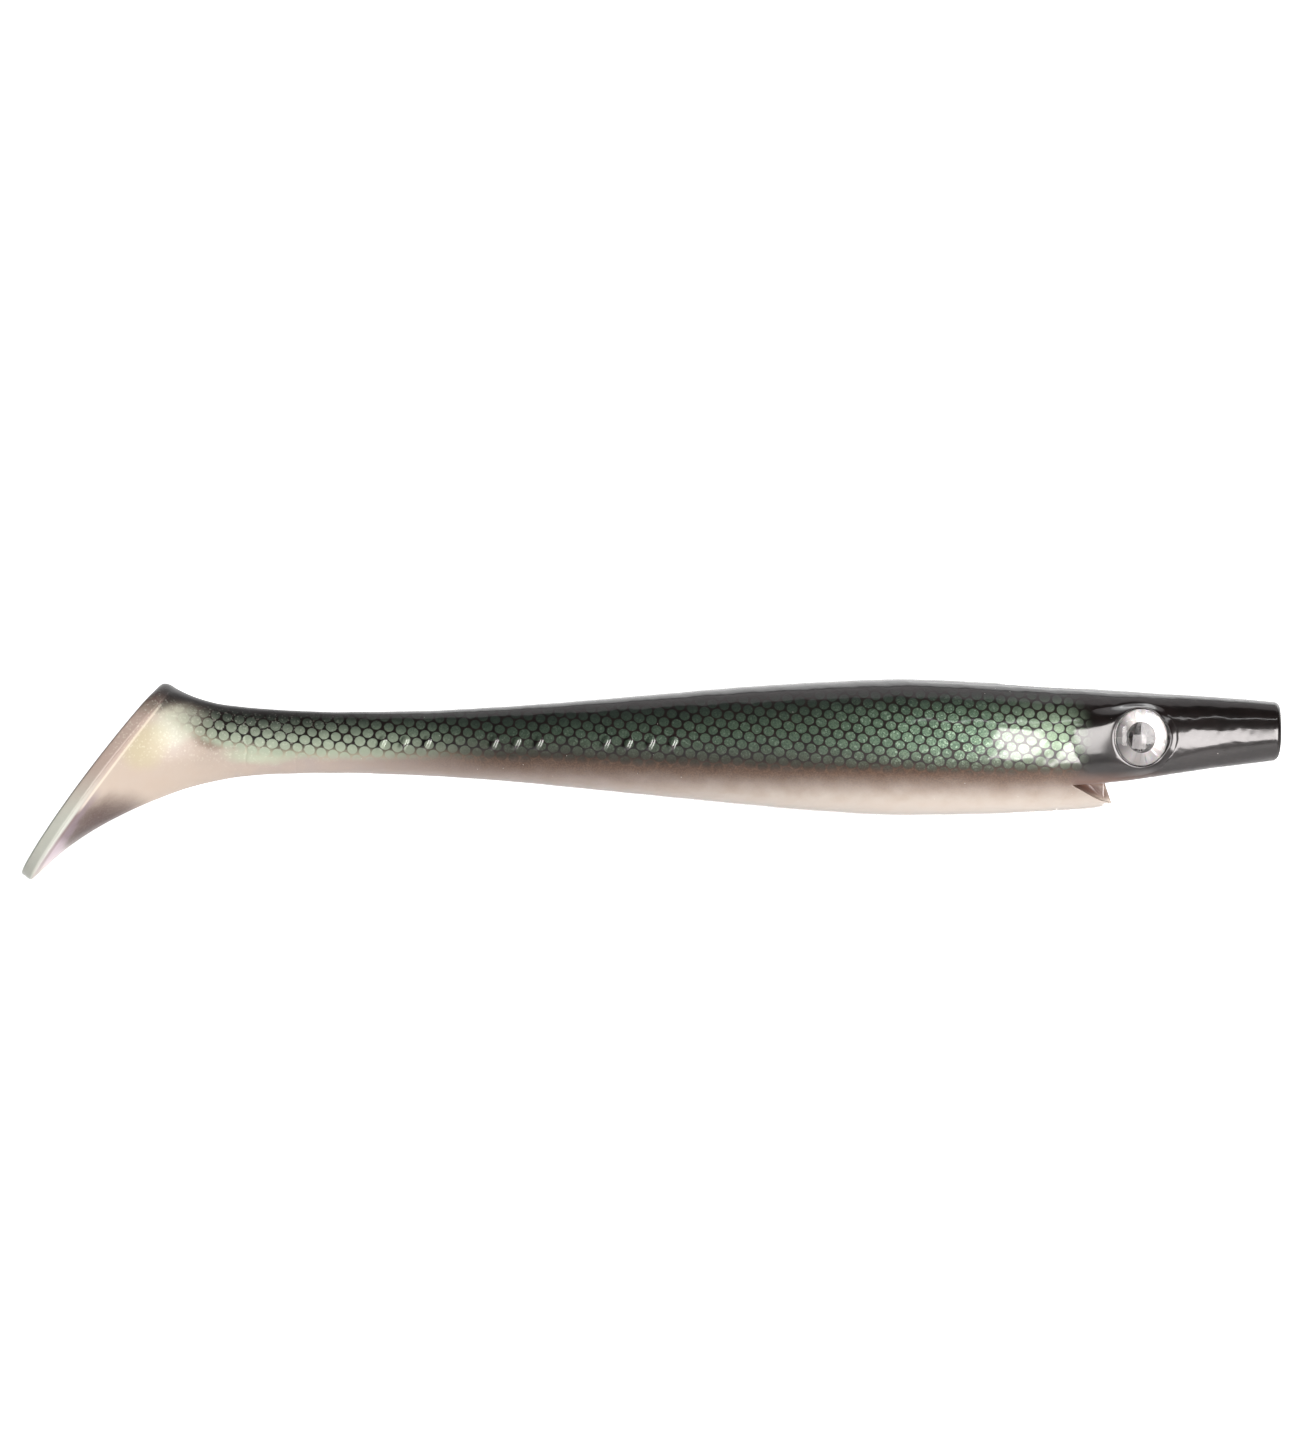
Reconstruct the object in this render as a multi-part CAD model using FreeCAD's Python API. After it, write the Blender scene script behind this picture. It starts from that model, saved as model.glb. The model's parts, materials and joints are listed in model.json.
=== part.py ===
"""Soft plastic swimbait with an angled paddle tail, in millimetres.

The bait swims towards +X with its back up (+Z), and the origin is the centre of its flat nose.
It is one flexible moulding in two colour shots, a dark back and a pearl belly, with two domed eyes.
The moulding bends anywhere along its rear two thirds. Here it is cut flat into rigid links at its
main bends, with a short flexible band between neighbours, and each keeps both colour shots.
"""

import FreeCAD, Part
import math
import os

from FreeCAD import Vector

FAR = 300.0                 # reaches past the whole bait
OUTLINE_POINTS = 24         # on each cross-section
NOSE_EDGE_RADIUS = 0.8

# Cross-sections, each of two half ellipses that meet at the widest point:
# x, back height, height of the widest point, underside height, half width, squareness below.
HEAD = [
    (0.0, 4.53, 0.0, -4.60, 4.30, 2.0),
    (-6.2, 5.10, -0.15, -5.40, 4.70, 2.0),
    (-12.6, 5.56, -0.35, -6.20, 5.30, 2.1),
    (-18.9, 5.95, -0.70, -7.10, 6.20, 2.2),
    (-25.3, 6.40, -1.20, -7.95, 7.50, 2.5),
    (-29.5, 6.70, -1.60, -8.35, 8.15, 2.8),
    (-33.2, 6.95, -1.90, -8.60, 8.55, 3.0),
]
LOBE = [
    (-26.0, 5.00, -1.30, -11.30, 7.60, 2.0),
    (-29.5, 5.00, -1.60, -12.25, 8.10, 2.0),
]
TRUNK = [
    (-33.2, 6.95, -1.90, -12.60, 8.55, 2.0),
    (-38.0, 7.20, -2.20, -12.85, 8.95, 2.0),
    (-47.5, 7.80, -2.50, -13.20, 9.35, 2.0),
    (-60.3, 8.27, -2.55, -13.35, 9.50, 2.0),
    (-73.0, 7.80, -2.45, -12.70, 9.20, 2.0),
    (-85.7, 7.00, -2.30, -11.60, 8.30, 2.0),
    (-98.4, 5.90, -2.20, -10.30, 7.10, 2.0),
    (-111.1, 4.80, -2.10, -9.05, 6.00, 2.0),
    (-123.9, 3.85, -2.00, -7.85, 4.95, 2.0),
    (-136.6, 3.20, -1.90, -7.00, 4.10, 2.0),
    (-149.3, 3.02, -1.75, -6.65, 3.50, 2.0),
    (-158.8, 3.35, -1.65, -6.78, 3.40, 2.0),
    (-166.0, 3.90, -1.65, -7.35, 3.90, 2.0),
]

# Throat: the belly runs on forward under the head as a lobe, scooped out on both cheeks
THROAT_CREASE = (-33.2, -8.60)      # x, z where the lobe leaves the head's flank
CHEEK_MIDDLE = (-29.9, -10.5)       # x, z on the curved edge of the cheek
LOBE_TIP = (-26.8, -11.5)           # x, z of the lobe's foremost point
WEB_TOP = (-27.8, -7.0)             # x, z inside the head, above the lobe's front edge
WEB_HALF_WIDTH = 1.7                # of the wall left between the two scoops

# Lower edge of the dark back in the side view (x, z), from the throat to the paddle's top
COLOUR_LINE = [
    (-33.2, -8.10),
    (-60.3, -7.10),
    (-98.4, -5.80),
    (-136.6, -3.70),
    (-158.8, -2.60),
    (-166.0, -1.60),
    (-170.5, 1.60),
    (-176.0, 5.60),
    (-180.5, 8.00),
]

# Eyes
EYE_CENTRE = (-22.4, 7.20, -1.0)    # centre of the socket's rim plane; y is taken both ways
EYE_FORWARD_TILT = math.radians(22)
EYE_RADIUS = 4.45
SOCKET_RADIUS = 4.55
SOCKET_DEPTH = 1.10
BOSS_RADIUS = 5.10
BOSS_DEPTH = 3.2
ADHESIVE_THICKNESS = 0.20
FOIL_THICKNESS = 0.15
PUPIL_RADIUS = 2.25
PUPIL_THICKNESS = 0.10
LENS_EDGE_THICKNESS = 0.60
LENS_DOME_HEIGHT = 1.50

# The tail flares from the wrist to the paddle in sections that fan out about the top:
# top (x, z), bottom (x, z), half width, share of the way down to the widest point
FLARE_START = -164.4
FLARE = [
    ((FLARE_START, 3.78), (FLARE_START, -7.22), 3.78, 0.49),
    ((-168.6, 4.35), (-172.2, -8.75), 4.35, 0.50),
    ((-171.7, 5.05), (-178.5, -10.95), 5.40, 0.51),
    ((-173.8, 5.65), (-184.9, -14.05), 7.20, 0.53),
    ((-175.4, 6.05), (-191.5, -18.20), 9.30, 0.56),
    ((-177.1, 6.40), (-199.0, -22.80), 11.50, 0.58),
]
PADDLE_TOP = (-176.2, 6.40)         # x, z of the paddle's front face at its top
PADDLE_BOTTOM = (-198.55, -23.60)   # and at its bottom
PADDLE_HALF_WIDTH = 12.3
PADDLE_WIDEST = 0.58
PADDLE_THICKNESS = 2.0
PADDLE_BOW = 0.5                    # how far the middle of the paddle bows aft

# Main bends: name, x of the axis, half length of the flexible band
BENDS = [
    ("middle", -66.0, 2.6),
    ("rear", -90.0, 2.6),
    ("tail_root", -111.0, 2.2),
    ("stalk", -130.0, 2.2),
    ("wrist", -149.0, 2.0),
    ("paddle", -163.2, 1.2),
]

# Raised ticks along the lateral line, slanted like a row of scales
TICK_FIRST, TICK_LAST, TICK_COUNT = -96.5, -142.5, 14
TICK_LENGTH = 2.2
TICK_RADIUS = 0.55
TICK_RISE = 0.35            # how far a tick stands out of the flank
TICK_HEIGHT = -1.9          # z of the ticks' middles
TICK_SLANT = math.radians(25)


def closed_curve(points):
    curve = Part.BSplineCurve()
    curve.interpolate(Points=[Vector(*p) for p in points], PeriodicFlag=True)
    return Part.Wire([curve.toShape()])


def turns():
    return [2 * math.pi * i / OUTLINE_POINTS for i in range(OUTLINE_POINTS)]


def section(station):
    """A closed cross-section, starting from the +Y flank and turning over the back."""
    x, back, widest, under, half_width, power = station
    points = []
    for angle in turns():
        across, up = math.cos(angle), math.sin(angle)
        share = 1.0 if up >= 0 else 2 / power
        reach = back - widest if up >= 0 else widest - under
        y = math.copysign(half_width * abs(across) ** share, across)
        z = widest + math.copysign(reach * abs(up) ** share, up)
        points.append((x, y, z))
    return closed_curve(points)


def side_point(place):
    return Vector(place[0], 0, place[1])


def tilted_section(top, bottom, half_width, widest):
    """An egg-shaped section on the plane through top and bottom, square to the side view."""
    high, low = side_point(top), side_point(bottom)
    centre = high + (low - high) * widest
    points = []
    for angle in turns():
        reach = high - centre if math.sin(angle) >= 0 else centre - low
        points.append(centre + reach * math.sin(angle) + Vector(0, half_width * math.cos(angle), 0))
    return closed_curve(points)


def loft(sections):
    return Part.makeLoft(sections, True, False)


def polyline(places):
    points = [side_point(p) for p in places]
    return [Part.LineSegment(a, b).toShape() for a, b in zip(points, points[1:])]


def side_prism(edges, y_low=-FAR, y_high=FAR):
    """A solid whose outline is drawn in the side view, reaching from y_low to y_high."""
    face = Part.Face(Part.Wire(edges))
    face.translate(Vector(0, y_low, 0))
    return face.extrude(Vector(0, y_high - y_low, 0))


def slab(x_low, x_high):
    return Part.makeBox(x_high - x_low, 2 * FAR, 2 * FAR, Vector(x_low, -FAR, -FAR))


def half_width_at(x):
    for fore, aft in zip(TRUNK, TRUNK[1:]):
        if aft[0] <= x <= fore[0]:
            return fore[4] + (aft[4] - fore[4]) * (x - fore[0]) / (aft[0] - fore[0])
    raise ValueError(f"no trunk section around x = {x}")


def eye_frame(side):
    """The socket's rim centre and the eye's outward axis. Side is -1 on the right, 1 on the left."""
    x, y, z = EYE_CENTRE
    axis = Vector(math.sin(EYE_FORWARD_TILT), side * math.cos(EYE_FORWARD_TILT), 0)
    return Vector(x, side * y, z), axis


def eye_disc(side, radius, start, thickness):
    """A disc on the eye's axis. Start is measured outwards from the rim plane."""
    centre, axis = eye_frame(side)
    return Part.makeCylinder(radius, thickness, centre + axis * start, axis)


def eye_parts(side):
    """Adhesive pad, foil disc, pupil and domed lens, from the socket's floor outwards."""
    floor = -SOCKET_DEPTH
    foil = floor + ADHESIVE_THICKNESS
    pupil = foil + FOIL_THICKNESS
    shoulder = pupil + LENS_EDGE_THICKNESS
    ball_radius = (EYE_RADIUS**2 + LENS_DOME_HEIGHT**2) / (2 * LENS_DOME_HEIGHT)
    centre, axis = eye_frame(side)
    ball = Part.makeSphere(ball_radius, centre + axis * (shoulder + LENS_DOME_HEIGHT - ball_radius))
    column = eye_disc(side, EYE_RADIUS, pupil, LENS_EDGE_THICKNESS + 2 * LENS_DOME_HEIGHT)
    recess = eye_disc(side, PUPIL_RADIUS, pupil, PUPIL_THICKNESS)
    return {
        "adhesive": eye_disc(side, EYE_RADIUS, floor, ADHESIVE_THICKNESS),
        "foil": eye_disc(side, EYE_RADIUS, foil, FOIL_THICKNESS),
        "pupil": recess,
        "lens": column.common(ball).cut(recess),
    }


def make_head():
    head = loft([section(s) for s in HEAD])
    rim = [e for e in head.Edges if abs(e.CenterOfMass.x) < 0.01]
    head = head.makeFillet(NOSE_EDGE_RADIUS, rim)
    for side in (-1, 1):
        head = head.fuse(eye_disc(side, BOSS_RADIUS, -BOSS_DEPTH, BOSS_DEPTH))
        head = head.cut(eye_disc(side, SOCKET_RADIUS, -SOCKET_DEPTH, BOSS_DEPTH))
    return head


def cheek_scoop(side):
    """The hollow between the head's underside and the lobe's cheek, on one side of the web."""
    edge = Part.Arc(side_point(THROAT_CREASE), side_point(CHEEK_MIDDLE), side_point(LOBE_TIP))
    ahead, above = LOBE_TIP[0] + 5.0, THROAT_CREASE[1] + 3.0
    rest = [LOBE_TIP, (ahead, LOBE_TIP[1]), (ahead, above), (THROAT_CREASE[0], above), THROAT_CREASE]
    low, high = sorted((side * WEB_HALF_WIDTH, side * FAR))
    return side_prism([edge.toShape()] + polyline(rest), low, high)


def make_lobe(head):
    """The belly's forward end under the throat."""
    lobe = loft([section(s) for s in LOBE + TRUNK[:2]])
    rear, bottom = TRUNK[0][0], LOBE_TIP[1] - 5.0
    window = [WEB_TOP, LOBE_TIP, (LOBE_TIP[0], bottom), (rear, bottom), (rear, WEB_TOP[1]), WEB_TOP]
    lobe = lobe.common(side_prism(polyline(window)))
    for side in (-1, 1):
        lobe = lobe.cut(cheek_scoop(side))
    return lobe.cut(head)


def make_paddle():
    """The flare of the tail and the bowed disc that it ends in."""
    flare = loft([tilted_section(*s) for s in FLARE])
    high, low = side_point(PADDLE_TOP), side_point(PADDLE_BOTTOM)
    down = low - high
    chord = down.Length
    aft = Vector(down.z, 0, -down.x) / chord
    outline = Part.Face(tilted_section(PADDLE_TOP, PADDLE_BOTTOM, PADDLE_HALF_WIDTH, PADDLE_WIDEST))
    prism = outline.extrude(aft * (PADDLE_THICKNESS + 2 * PADDLE_BOW))
    radius = chord**2 / (8 * PADDLE_BOW) + PADDLE_BOW / 2
    bow_centre = (high + low) / 2 + aft * (PADDLE_BOW - radius) - Vector(0, FAR, 0)
    inner = Part.makeCylinder(radius, 2 * FAR, bow_centre, Vector(0, 1, 0))
    outer = Part.makeCylinder(radius + PADDLE_THICKNESS, 2 * FAR, bow_centre, Vector(0, 1, 0))
    disc = prism.cut(inner).common(outer)
    return flare.common(outer).fuse(disc)


def dark_region():
    """Everything above the colour line."""
    curve = Part.BSplineCurve()
    curve.interpolate(Points=[side_point(p) for p in COLOUR_LINE])
    first, last = COLOUR_LINE[0], COLOUR_LINE[-1]
    roof = [last, (last[0], FAR), (first[0], FAR), first]
    return side_prism([curve.toShape()] + polyline(roof))


def tick(x, side):
    """One raised tick on the flank, a slanted rod that is mostly buried."""
    along = Vector(math.sin(TICK_SLANT), 0, math.cos(TICK_SLANT))
    middle = Vector(x, side * (half_width_at(x) + TICK_RISE - TICK_RADIUS), TICK_HEIGHT)
    rod = Part.makeCylinder(TICK_RADIUS, TICK_LENGTH, middle - along * (TICK_LENGTH / 2), along)
    return rod.makeFillet(TICK_RADIUS * 0.9, [e for e in rod.Edges if e.Closed])


def tick_places():
    """The ticks' x, leaving out those on a flexible band."""
    step = (TICK_LAST - TICK_FIRST) / (TICK_COUNT - 1)
    places = [TICK_FIRST + step * i for i in range(TICK_COUNT)]
    return [x for x in places if all(abs(x - bend) > half + TICK_LENGTH / 2 for _, bend, half in BENDS)]


def stretches():
    """Each rigid link and flexible band as its name and its rear and front x."""
    rows = []
    front = 0.0
    name = "front"
    for bend_name, x, half in BENDS:
        rows.append((name, x + half, front))
        rows.append((f"{bend_name}_bend", x - half, x + half))
        front = x - half
        name = bend_name
    rows.append((name, -FAR, front))
    return rows


def main():
    os.makedirs("parts", exist_ok=True)
    head = make_head()
    trunk = loft([section(s) for s in TRUNK])
    paddle = make_paddle()
    dark = dark_region()
    made = {"head": head}
    for name, rear, front in stretches():
        piece = (paddle if name == "paddle" else trunk).common(slab(rear, front))
        for x in tick_places():
            if rear < x < front:
                for side in (-1, 1):
                    piece = piece.fuse(tick(x, side))
        made[f"{name}_back"] = piece.common(dark)
        made[f"{name}_belly"] = piece.cut(dark)
    made["front_belly"] = made["front_belly"].fuse(make_lobe(head))
    for side, word in ((-1, "right"), (1, "left")):
        for piece, shape in eye_parts(side).items():
            made[f"{word}_eye_{piece}"] = shape
    for name, shape in made.items():
        shape.exportStep(os.path.join("parts", f"{name}.step"))
        size = shape.optimalBoundingBox(False)
        print(
            f"{name:20s} solids {len(shape.Solids)} valid {shape.isValid()} volume {shape.Volume:8.1f}"
            f" x {size.XMin:7.1f} {size.XMax:7.1f} y {size.YMin:6.1f} {size.YMax:6.1f}"
            f" z {size.ZMin:6.1f} {size.ZMax:6.1f}"
        )


main()
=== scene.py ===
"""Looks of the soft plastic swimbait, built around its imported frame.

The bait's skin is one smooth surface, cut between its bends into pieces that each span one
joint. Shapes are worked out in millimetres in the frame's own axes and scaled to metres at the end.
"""

import json
import math
from types import SimpleNamespace

import bmesh
import bpy
import numpy as np
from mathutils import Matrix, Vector
from mathutils.bvhtree import BVHTree


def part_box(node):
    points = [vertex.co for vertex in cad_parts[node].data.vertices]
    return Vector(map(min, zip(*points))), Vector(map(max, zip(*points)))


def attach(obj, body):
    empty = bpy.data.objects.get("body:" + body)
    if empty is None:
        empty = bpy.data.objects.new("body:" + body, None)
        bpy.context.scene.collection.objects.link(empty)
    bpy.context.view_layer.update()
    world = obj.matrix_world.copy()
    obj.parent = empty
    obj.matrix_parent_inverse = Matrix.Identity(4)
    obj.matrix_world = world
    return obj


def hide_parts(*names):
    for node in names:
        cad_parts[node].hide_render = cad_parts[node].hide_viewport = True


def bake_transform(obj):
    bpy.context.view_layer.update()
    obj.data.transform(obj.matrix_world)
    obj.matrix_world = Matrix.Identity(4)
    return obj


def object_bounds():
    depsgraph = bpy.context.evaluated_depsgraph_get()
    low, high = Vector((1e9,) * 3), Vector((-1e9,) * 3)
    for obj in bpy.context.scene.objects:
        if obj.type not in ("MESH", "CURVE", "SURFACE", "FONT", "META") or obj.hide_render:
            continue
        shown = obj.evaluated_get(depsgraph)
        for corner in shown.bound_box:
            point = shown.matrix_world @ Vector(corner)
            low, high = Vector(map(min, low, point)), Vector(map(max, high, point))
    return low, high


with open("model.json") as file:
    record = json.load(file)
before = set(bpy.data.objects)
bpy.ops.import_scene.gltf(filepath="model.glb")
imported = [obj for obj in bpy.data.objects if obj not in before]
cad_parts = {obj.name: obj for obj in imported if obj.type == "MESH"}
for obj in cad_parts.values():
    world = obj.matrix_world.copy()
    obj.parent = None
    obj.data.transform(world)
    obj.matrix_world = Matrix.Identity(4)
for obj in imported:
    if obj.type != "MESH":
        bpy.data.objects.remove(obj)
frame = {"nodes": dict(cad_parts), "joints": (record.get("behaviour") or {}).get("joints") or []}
cad_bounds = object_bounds()

MM = 0.001
COLUMNS = 176               # points round each row of the skin

# ---------------------------------------------------------------- shape, in millimetres

# Rows of the body: x, back height, height of the widest point, belly height, half width
BODY = [
    (0.0, 4.53, 0.0, -4.60, 4.30),
    (-6.2, 5.10, -0.15, -5.60, 4.70),
    (-12.6, 5.56, -0.40, -6.90, 5.30),
    (-18.9, 5.95, -0.80, -8.80, 6.20),
    (-25.3, 6.40, -1.30, -11.20, 7.50),
    (-29.5, 6.70, -1.70, -12.25, 8.15),
    (-33.2, 6.95, -1.90, -12.60, 8.55),
    (-38.0, 7.20, -2.20, -12.87, 8.95),
    (-47.5, 7.80, -2.50, -13.25, 9.35),
    (-60.3, 8.27, -2.55, -13.42, 9.50),
    (-73.0, 7.80, -2.45, -12.80, 9.20),
    (-85.7, 7.00, -2.30, -11.68, 8.30),
    (-98.4, 5.90, -2.20, -10.42, 7.10),
    (-111.1, 4.80, -2.10, -9.15, 6.00),
    (-123.9, 3.85, -2.00, -7.92, 4.95),
    (-136.6, 3.20, -1.90, -7.10, 4.10),
    (-149.3, 3.02, -1.75, -6.68, 3.50),
    (-158.8, 3.35, -1.65, -6.82, 3.40),
]
# Rows of the tail's flare, which fan out about the top:
# top (x, z), bottom (x, z), half width, share of the way down to the widest point
FLARE = [
    ((-164.4, 3.80), (-164.6, -7.24), 3.75, 0.49),
    ((-168.9, 4.42), (-172.2, -8.75), 4.30, 0.50),
    ((-172.0, 5.30), (-178.5, -10.97), 5.45, 0.51),
    ((-173.8, 6.05), (-184.9, -14.08), 7.30, 0.53),
    ((-174.9, 6.60), (-191.5, -18.20), 9.55, 0.56),
    ((-175.4, 6.88), (-198.0, -23.45), 11.80, 0.58),
]
# The head's underside, cut across the body's oval: x, height, radius of the corner below the flank
UNDERSIDE = [
    (0.0, -4.70, 0.10),
    (-6.2, -5.42, 0.40),
    (-12.6, -6.22, 0.80),
    (-18.9, -7.12, 1.10),
    (-25.3, -7.95, 1.20),
    (-29.5, -8.38, 0.90),
    (-33.2, -8.62, 0.55),
    (-34.6, -10.80, 0.50),
    (-36.4, -14.50, 0.40),
]
NOSE_EDGE_RADIUS = 1.1
NOSE_RADIUS = 4.4

# The paddle's disc behind the flare
RIM_THICKNESS = 2.0
RIM_CORNER = 0.35
RIM_STEP = 0.05             # how far the rim's front corner lies aft of the flare
RIM_TOP_CORNER = 1.7        # rounder at the paddle's top, where rim and flare also run together
RIM_OVERHANG = 0.40         # how far the rim stands out beyond the flare elsewhere
DISC_BOW = 0.50             # how far the disc's middle bows aft

# The throat's lobe: edge of the cheek from the crease to the tip, in the side view (x, z)
LOBE_EDGE = [(-40.0, -4.5), (-35.5, -7.0), (-33.2, -8.60), (-31.5, -9.55), (-29.9, -10.45),
             (-28.3, -11.10), (-26.8, -11.50)]
LOBE_UNDER_TIP = -11.62
LOBE_UNDER_START = -28.4    # x where the lobe's lower edge starts to turn up to its tip
WEB_TOP = (-27.9, -8.40)    # x, z of the web's front corner under the head
WEB_HALF_WIDTH = 1.7
WEB_FILLET = 2.2
LOBE_SINK = 0.02            # keeps the lobe's skin under the body's where both exist

# Two fine creases on the wrist: x, height span, depth, half width
CREASES = [(-163.9, -5.4, -0.4, 0.05, 0.15), (-166.3, -4.6, -1.2, 0.025, 0.15)]

# Raised ticks along the lateral line
TICK_FIRST, TICK_LAST, TICK_COUNT = -96.5, -142.5, 14
TICK_HEIGHT, TICK_LENGTH, TICK_HALF_WIDTH, TICK_RISE = -1.9, 2.2, 0.52, 0.33
TICK_SLANT = math.radians(25)
TICK_CLEARANCE = 3.7        # least distance from the axis of a bend


def pchip(xs, ys, at):
    """Monotone cubic through the points, which keeps flat stretches flat. xs rise."""
    xs, ys = np.asarray(xs, float), np.asarray(ys, float)
    h, slope = np.diff(xs), np.diff(ys) / np.diff(xs)
    m = np.zeros_like(ys)
    m[0], m[-1] = slope[0], slope[-1]
    for i in range(1, len(xs) - 1):
        if slope[i - 1] * slope[i] > 0:
            w1, w2 = 2 * h[i] + h[i - 1], h[i] + 2 * h[i - 1]
            m[i] = (w1 + w2) / (w1 / slope[i - 1] + w2 / slope[i])
    at = np.clip(at, xs[0], xs[-1])
    k = np.clip(np.searchsorted(xs, at) - 1, 0, len(h) - 1)
    t = (at - xs[k]) / h[k]
    a, b = ys[k], ys[k + 1]
    return (
        a * (1 + 2 * t) * (1 - t) ** 2 + b * t**2 * (3 - 2 * t)
        + h[k] * (m[k] * t * (1 - t) ** 2 - m[k + 1] * t**2 * (1 - t))
    )


def smoothstep(low, high, value):
    """Eased rise from 0 at low to 1 at high. High may be the smaller of the two."""
    t = np.clip((value - low) / (high - low), 0, 1)
    return t * t * (3 - 2 * t)


def soft_floor(z, floor, radius):
    """z kept above floor, with a rounded corner of about radius where they meet."""
    t = np.clip((z - floor) / radius, -1, 1)
    return np.where(z > floor + radius, z, floor + radius * (t + 1) ** 2 / 4)


def station_table():
    """Every row's run along the bait, top, bottom, half width and share, as columns."""
    rows = []
    for x, back, widest, belly, half in BODY:
        rows.append((-x, x, back, x, belly, half, (back - widest) / (back - belly)))
    for (tx, tz), (bx, bz), half, share in FLARE:
        rows.append((-(tx + bx) / 2, tx, tz, bx, bz, half, share))
    return np.array(rows)


STATIONS = station_table()


def rows_at(run):
    """Top, bottom, half width and share of the widest point for runs along the bait."""
    values = [pchip(STATIONS[:, 0], STATIONS[:, i], run) for i in range(1, 7)]
    top = np.stack([values[0], np.zeros_like(run), values[1]], -1)
    bottom = np.stack([values[2], np.zeros_like(run), values[3]], -1)
    return top, bottom, values[4], values[5]


def oval(top, bottom, half, share, turn):
    """Points at each turn round an egg on the plane through top and bottom. Turn 0 is the +Y flank."""
    up, across = np.sin(turn), np.cos(turn)
    centre = top + (bottom - top) * share[..., None]
    reach = np.where((up >= 0)[..., None], top - centre, centre - bottom)
    points = centre + reach * up[..., None]
    points[..., 1] += half * across
    return points


def body_surface(run, turn):
    """The bait's plain skin, without its underside cut."""
    return oval(*rows_at(run), turn)


def cut_underside(points):
    """Flattens the head's lower side, back to the throat."""
    x = -points[..., 0]
    table = np.array(UNDERSIDE)
    floor = pchip(-table[:, 0], table[:, 1], x)
    radius = pchip(-table[:, 0], table[:, 2], x)
    cut = soft_floor(points[..., 2], floor, radius)
    points[..., 2] = np.where(x < -UNDERSIDE[-1][0], cut, points[..., 2])
    return points


def press_creases(points, normals):
    """Presses the wrist's fine creases into the skin."""
    for x, low, high, depth, half in CREASES:
        across = np.exp(-(((points[..., 0] - x - 0.12 * np.sin(points[..., 2] * 1.7)) / half) ** 2))
        along = smoothstep(low - 0.6, low + 0.6, points[..., 2])
        along = along * (1 - smoothstep(high - 0.6, high + 0.6, points[..., 2]))
        points = points - normals * (depth * across * along)[..., None]
    return points


def raise_ticks(points):
    """Slanted ticks on both flanks, clear of the flexible bands."""
    step = (TICK_LAST - TICK_FIRST) / (TICK_COUNT - 1)
    bends = [joint["pos_m"][0] / MM for joint in frame["joints"]]
    rise = np.zeros(points.shape[:-1])
    for i in range(TICK_COUNT):
        x = TICK_FIRST + step * i
        if any(abs(x - bend) < TICK_CLEARANCE for bend in bends):
            continue
        dx, dz = points[..., 0] - x, points[..., 2] - TICK_HEIGHT
        along = dx * math.sin(TICK_SLANT) + dz * math.cos(TICK_SLANT)
        across = dx * math.cos(TICK_SLANT) - dz * math.sin(TICK_SLANT)
        straight = np.maximum(np.abs(along) - (TICK_LENGTH / 2 - TICK_HALF_WIDTH), 0)
        distance = np.hypot(straight, across)
        tick = 1 - smoothstep(TICK_HALF_WIDTH * 0.60, TICK_HALF_WIDTH * 1.10, distance)
        rise = np.maximum(rise, tick)
    points[..., 1] += np.sign(points[..., 1]) * TICK_RISE * rise
    return points


def grid_normals(points):
    """Outward normals of a grid of rows that run aft, each closed round the bait."""
    along = np.gradient(points, axis=0)
    around = np.roll(points, -1, axis=1) - np.roll(points, 1, axis=1)
    normals = np.cross(along, around)
    normals /= np.maximum(np.linalg.norm(normals, axis=-1, keepdims=True), 1e-9)
    return normals


def row_runs():
    """Distances along the bait at which the skin has rows, closer together over fine detail."""
    runs, run = [], NOSE_EDGE_RADIUS
    end = STATIONS[-1, 0]
    while run < end:
        runs.append(run)
        fine = 0.16 if 162 < run < 168 else 0.22 if 94 < run < 146 or 15 < run < 30 else 0.30
        run += fine
    return np.array(runs + [end])


def nose_rows(turn):
    """The flat of the nose from its middle out, and its rounded edge."""
    shares = [0.02, 0.2, 0.4, 0.6, 0.8]
    corner = [math.pi / 2 * i / 8 for i in range(9)]
    rows = []
    rim = body_surface(np.full(COLUMNS, NOSE_EDGE_RADIUS), turn)
    middle = np.array([0, 0, (rim[:, 2].max() + rim[:, 2].min()) / 2])
    flat = 1 - NOSE_EDGE_RADIUS / NOSE_RADIUS
    for share in shares + [flat + (1 - flat) * math.sin(a) for a in corner]:
        row = middle + (rim - middle) * share
        inset = max(0.0, (share - flat) / (1 - flat))
        row[:, 0] = -NOSE_EDGE_RADIUS * (1 - math.sqrt(max(0.0, 1 - min(1.0, inset) ** 2)))
        rows.append(row)
    return rows[:-1]


def paddle_axes():
    """Top of the flare's last row, directions down and aft of the paddle, and its length."""
    top, bottom = (np.array([x, 0.0, z]) for x, z in FLARE[-1][:2])
    chord = np.linalg.norm(bottom - top)
    down = (bottom - top) / chord
    return top, down, np.array([down[2], 0.0, -down[0]]), chord


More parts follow.
